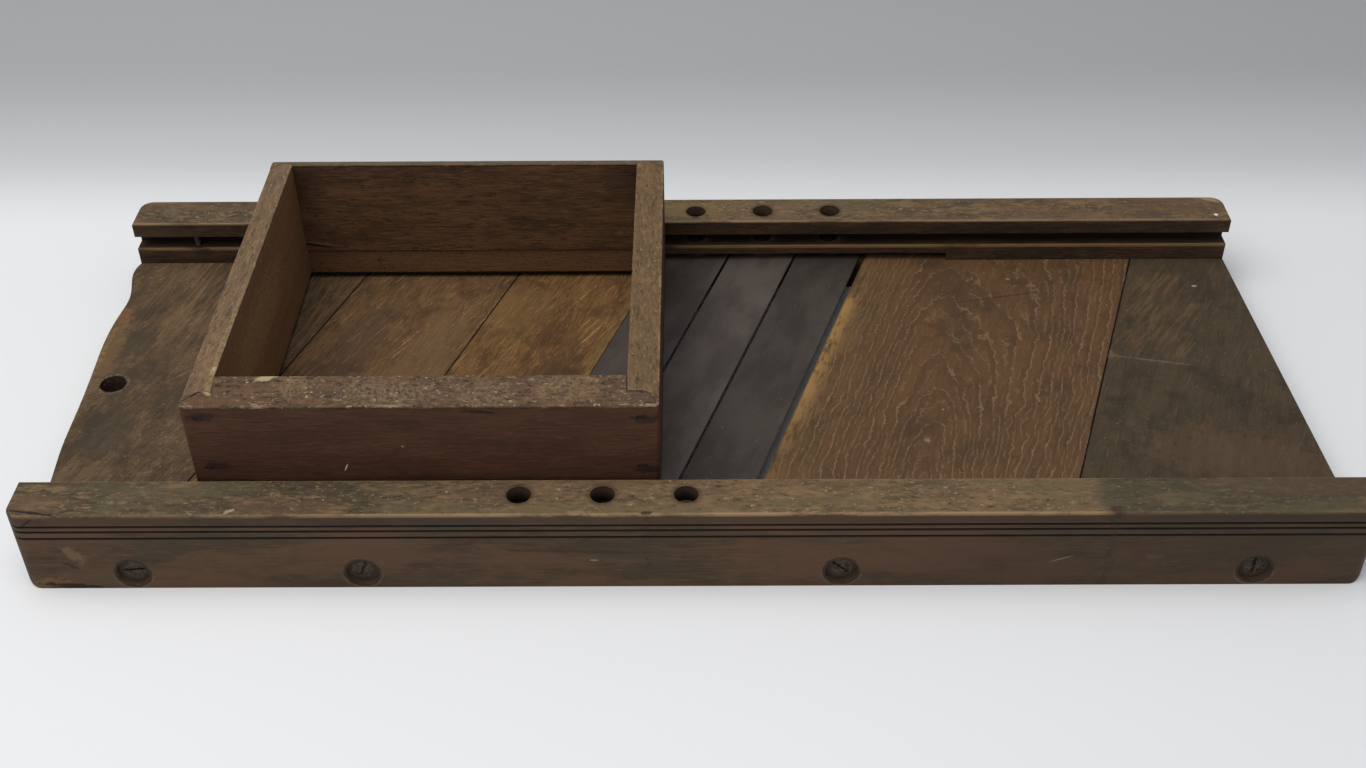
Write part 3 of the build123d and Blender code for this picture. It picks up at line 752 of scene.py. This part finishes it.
rim_red = (0.120, 0.060, 0.036)
rim_chip = (0.40, 0.31, 0.17)
side_ochre = (0.27, 0.185, 0.085)
side_chip = (0.40, 0.30, 0.16)
left_wall_painted_light = (0.300, 0.165, 0.074)
peck_dark = (0.020, 0.010, 0.006)
peck_brown = (0.155, 0.088, 0.045)
corner_shade = (0.022, 0.012, 0.007)
step_highlight_tan = (0.17, 0.105, 0.052)
back_crack_edge = (0.24, 0.17, 0.11)
runner_brown = (0.150, 0.074, 0.033)


def hopper_wood(node, turn, middle, brown, grey, speckle):
    """The finish of one wall: dark outside, brown inside, worn along the rim and its two edges."""
    material, place = bare_material(node + "_wood")
    x, y, z = axes(place)
    colour, relief = wood(place, turn, hopper_outside, middle, 0.4)
    inset = (x - hopper_left).least(hopper_right - x).least(y + hopper_half).least(hopper_half - y)
    inner = inset.fade(hopper_wall - 2.4 * mm, hopper_wall - 1.4 * mm)
    inner_wood, _ = wood(place, turn, hopper_inside, middle, 0.45)
    colour = tint(colour, inner_wood, inner)
    level = z + (hopper_wall - inset) * (rim_drop / hopper_wall)
    top = level.fade(rim_height - 1.3 * mm, rim_height - 0.7 * mm)
    below = 1 - top
    rim, rim_relief = worn_wood(place, turn, brown, grey, 0.4, middle, speckle)
    colour = tint(colour, rim, top)
    chips = cloud(along(place, turn, 2.5, middle), 4.5 * mm, 5, 0.74)
    near_inner = distance(inset - hopper_wall, level - rim_height)
    near_outer = distance(inset, level - rim_height)
    outer_chips = near_outer.fade(1.5 * mm, 0.7 * mm) * chips.fade(0.53, 0.62)
    inner_chips = near_inner.fade(1.8 * mm, 0.7 * mm) * chips.fade(0.54, 0.64)
    outer_dirt = near_outer.fade(2.6 * mm, 1.2 * mm) * chips.fade(0.42, 0.34)
    colour = tint(colour, pale_fibre, outer_chips * 0.55)
    colour = tint(colour, rim_inner_tan, inner_chips * 0.7)
    colour = tint(colour, soot_and_shade, outer_dirt * 0.6)
    relief = relief * below + (rim_relief * 1.6 + chips * 0.8) * top
    return material, place, colour, relief, (x, y, z, inner, top, below)


for node, turn, middle, brown, grey in (
    ("hopper_front_wall", 0, (0.1, 0, 0), (0.110, 0.062, 0.033), (0.080, 0.053, 0.033)),
    ("hopper_back_wall", 0, (0.4, 0, 0), (0.150, 0.092, 0.048), (0.098, 0.070, 0.043)),
    ("hopper_left_wall", math.pi / 2, (0.2, 0.3, 0), (0.170, 0.104, 0.055), (0.112, 0.072, 0.040)),
    ("hopper_right_wall", math.pi / 2, (0.7, 0.3, 0), (0.182, 0.108, 0.053), (0.118, 0.076, 0.040)),
    ("hopper_front_runner", 0, (0.5, 0, 0), rim_brown, rim_grey),
    ("hopper_back_runner", 0, (0.9, 0, 0), rim_brown, rim_grey),
):
    speckle = 1.5 if node == "hopper_front_wall" else 1.0
    finish = hopper_wood(node, turn, middle, brown, grey, speckle)
    material, place, colour, relief, (x, y, z, inner, top, below) = finish
    fray = cloud(place, 3 * mm, 5, 0.72)
    fine = cloud(place, 1.9 * mm, 4, 0.72)
    if node == "hopper_front_wall":
        colour = marked(colour, x, z, below, fray, (
            *((soot_and_shade, nail_place, (6.5, 2.6), 0, 0.6) for nail_place in front_nail_places),
            (soot_and_shade, (-103, 93.5), (8, 0.9), -5, 0.85),
            (soot_and_shade, (-143, 87), (9, 2), 0, 0.35),
        ))
        colour = marked(colour, x, z, below, None, (
            (bright_scratch, (-174.5, 57), (2.4, 0.36), 66, 0.85),
            (bright_dot, (-144, 71), (0.7, 0.6), 0, 0.6),
        ))
        colour = marked(colour, x, y, top, None, (
            (soot_and_shade, (-240.2, -107), (5.0, 0.5), -56, 0.9),
            (soot_and_shade, (-246.6, -112.5), (4.0, 0.6), 24, 0.9),
            (soot_and_shade, (-252, -115), (2.6, 0.6), 36, 0.9),
        ))
        colour = marked(colour, x, y, top, fray, (
            (crack_edge, (-241.5, -110), (5.5, 1.0), -40, fine.fade(0.44, 0.56)),
            (rim_red, (-238, -116), (15, 2.4), 0, 0.55),
            (rim_chip, (-211, -103.6), (5, 1.5), 12, 0.9),
        ))
        colour = marked(colour, x, y, top * fine.fade(0.44, 0.58), fray, (
            (scuffed_tan, (-150, -111), (24, 7), 0, 0.5),
            (scuffed_tan, (-60, -109), (16, 8), 0, 0.5),
            (scuffed_tan, (-196, -108), (10, 6), 0, 0.5),
            (scuffed_tan, (-100, -112), (14, 6), 0, 0.5),
        ))
        side_joint = abs(x - rebate_x).fade(0.8 * mm, 0.3 * mm)
        side_joint = side_joint * y.fade(rebate_y - 0.5 * mm, rebate_y + 0.1 * mm)
        long_joint = abs(y - rebate_y).fade(0.8 * mm, 0.3 * mm)
        long_joint = long_joint * x.fade(rebate_x - 0.5 * mm, rebate_x + 0.2 * mm)
        colour = tint(colour, soot_and_shade, side_joint.most(long_joint) * top * 0.8)
    if node == "hopper_left_wall":
        ochre_line = spot(x, y, (-239.6, -75), (1.8, 46), 0, fray) * fine.fade(0.40, 0.56)
        colour = tint(colour, side_ochre, ochre_line * top * 0.6)
        chipped = top * fine.fade(0.42, 0.54)
        colour = marked(colour, x, y, chipped, fray, ((side_chip, (-239.2, -97), (1.3, 5), 0, 1),))
        # A warm pool of painted light brightens the left wall's inner face.
        glow = spot(y, z, (-20, 72), (60, 16), 0, fray) * 0.35 + 0.45
        colour = tint(colour, left_wall_painted_light, inner * below * glow * fine.fade(0.15, 0.65))
    if node in ("hopper_back_wall", "hopper_back_runner"):
        pecks = cloud(along(place, 0, 3), 2.6 * mm, 6, 0.8)
        colour = tint(colour, peck_dark, pecks.fade(0.46, 0.36) * inner * below * 0.7)
        colour = tint(colour, peck_brown, pecks.fade(0.58, 0.68) * inner * below * 0.7)
    if node == "hopper_back_wall":
        inner_face = inner * below
        for corner in inner_corners:
            shade = abs(x - corner).fade(30 * mm, 0) * z.fade(60 * mm, 96 * mm)
            colour = tint(colour, corner_shade, shade * inner_face * 0.6)
        colour = marked(colour, x, z, inner_face, fray, (
            (soot_and_shade, (-231, 46.5), (8.5, 0.8), -8, 0.9),
            (back_crack_edge, (-230, 48.2), (8, 0.6), -8, fine.fade(0.4, 0.5) * 0.8),
        ))
    if node == "hopper_back_runner":
        colour = marked(colour, x, z, inner, fray, ((soot_and_shade, (-193, 34), (2.2, 1.6), 0, 0.8),))
        # The pale line along the runner's top edge is a painted highlight.
        step = abs(z - runner_top).fade(1.0 * mm, 0.3 * mm) * fray.fade(0.44, 0.60)
        colour = tint(colour, step_highlight_tan, step * 0.6)
        colour = tint(colour, runner_brown, inner * fine.fade(0.30, 0.60) * 0.8)
    # The bottom edge of every hopper piece is painted black as the shade of the gap beneath it.
    colour = tint(colour, soot_and_shade, z.fade(hopper_bottom + 1.4 * mm, hopper_bottom + 0.8 * mm))
    coat(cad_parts[node], material, colour, 0.72 + relief * 0.08, 0.22, relief, 0.5 * mm)
    ease_edges(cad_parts[node], 0.9 * mm, 3)

# The nails: square cut nails through the ends of the front and back walls, and round ones
# up through the runners. They are plain iron, blacker than the screws.
nail_black = (0.008, 0.006, 0.005)
nail_rust = (0.028, 0.017, 0.011)

for node in ("hopper_wall_nails", "hopper_runner_nails"):
    material, place = bare_material(node + "_iron")
    rust = cloud(place, 2 * mm, 5, 0.7)
    colour = tint(nail_black, nail_rust, rust.fade(0.45, 0.68))
    coat(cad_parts[node], material, colour, 0.6 + rust * 0.3, 0.3, rust, 0.2 * mm)
